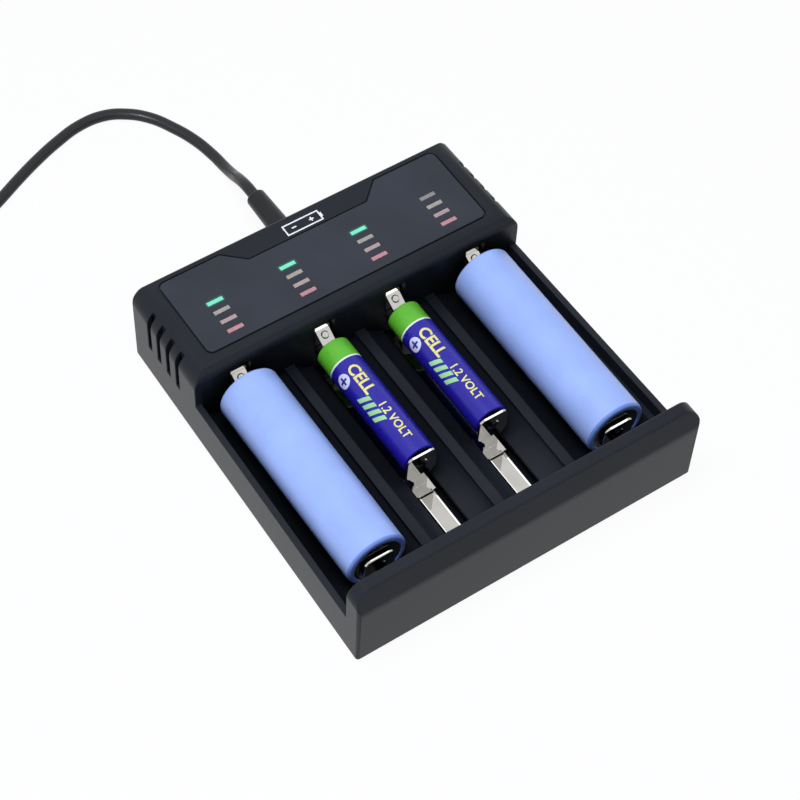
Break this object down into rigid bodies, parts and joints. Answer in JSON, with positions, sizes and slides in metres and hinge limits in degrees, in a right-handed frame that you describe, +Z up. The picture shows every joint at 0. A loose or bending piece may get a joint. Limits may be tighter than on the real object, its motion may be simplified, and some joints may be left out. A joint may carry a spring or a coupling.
{
  "type": "battery charger",
  "caption": "Desktop battery charger with an open tray of cell bays, sprung sliding contacts, a rear console with light bars and a USB lead.",
  "frame": {"origin": "on the table under the middle of the housing, measured without the lead", "axes": "+X to the right, +Y from the front wall to the rear console, +Z up"},
  "size_m": [0.2053, 0.2204, 0.0306],
  "materials": {
    "housing": "fine texture, black",
    "panel": "satin, dark grey",
    "light_guide": "milky, polished ends",
    "board": "solder resist, green",
    "light_chip": "clear resin",
    "chip": "moulded, black",
    "screw": "zinc plated",
    "nickel": "nickel plated, bright",
    "spring": "drawn wire",
    "foot": "matt, black",
    "large_wrap": "shrink wrap, pale blue",
    "small_wrap": "shrink wrap, violet with a green cap",
    "lead": "satin, black",
    "tie": "woven strip, black",
    "plug": "fine texture, black",
    "plug_shell": "nickel plated",
    "plug_tongue": "moulded, black"
  },
  "bodies": {
    "charger": {"upper_housing": "housing", "base_cover": "housing", "led_panel": "panel", "light_guide_1": "light_guide", "light_guide_2": "light_guide", "light_guide_3": "light_guide", "light_guide_4": "light_guide", "main_board": "board", "led_chips": "light_chip", "board_parts": "chip", "board_screws": "screw", "positive_contact_1": "nickel", "positive_contact_2": "nickel", "positive_contact_3": "nickel", "positive_contact_4": "nickel", "slider_rail_1": "nickel", "slider_rail_2": "nickel", "slider_rail_3": "nickel", "slider_rail_4": "nickel", "slider_spring_1": "spring", "slider_spring_2": "spring", "slider_spring_3": "spring", "slider_spring_4": "spring", "housing_screws": "screw", "rubber_feet": "foot", "large_cell_left": "large_wrap", "small_cell_left": "small_wrap", "small_cell_right": "small_wrap", "large_cell_right": "large_wrap", "strain_relief": "lead", "cord": "lead", "cord_coil": "lead", "cord_tie": "tie", "usb_plug_body": "plug", "usb_shell": "plug_shell", "usb_tongue": "plug_tongue"},
    "slider_1": {"slider_1": "nickel"},
    "slider_2": {"slider_2": "nickel"},
    "slider_3": {"slider_3": "nickel"},
    "slider_4": {"slider_4": "nickel"}
  },
  "joints": [
    {"name": "slider_1_slide", "type": "slide", "parent": "charger", "child": "slider_1", "axis": [0, -1, 0], "range_m": [0, 0.0042], "stiffness_N_per_m": 40, "springref_m": -0.02, "deforming": ["slider_spring_1"]},
    {"name": "slider_2_slide", "type": "slide", "parent": "charger", "child": "slider_2", "axis": [0, -1, 0], "range_m": [0, 0.0249], "stiffness_N_per_m": 40, "springref_m": -0.02, "deforming": ["slider_spring_2"]},
    {"name": "slider_3_slide", "type": "slide", "parent": "charger", "child": "slider_3", "axis": [0, -1, 0], "range_m": [0, 0.0249], "stiffness_N_per_m": 40, "springref_m": -0.02, "deforming": ["slider_spring_3"]},
    {"name": "slider_4_slide", "type": "slide", "parent": "charger", "child": "slider_4", "axis": [0, -1, 0], "range_m": [0, 0.0042], "stiffness_N_per_m": 40, "springref_m": -0.02, "deforming": ["slider_spring_4"]}
  ]
}
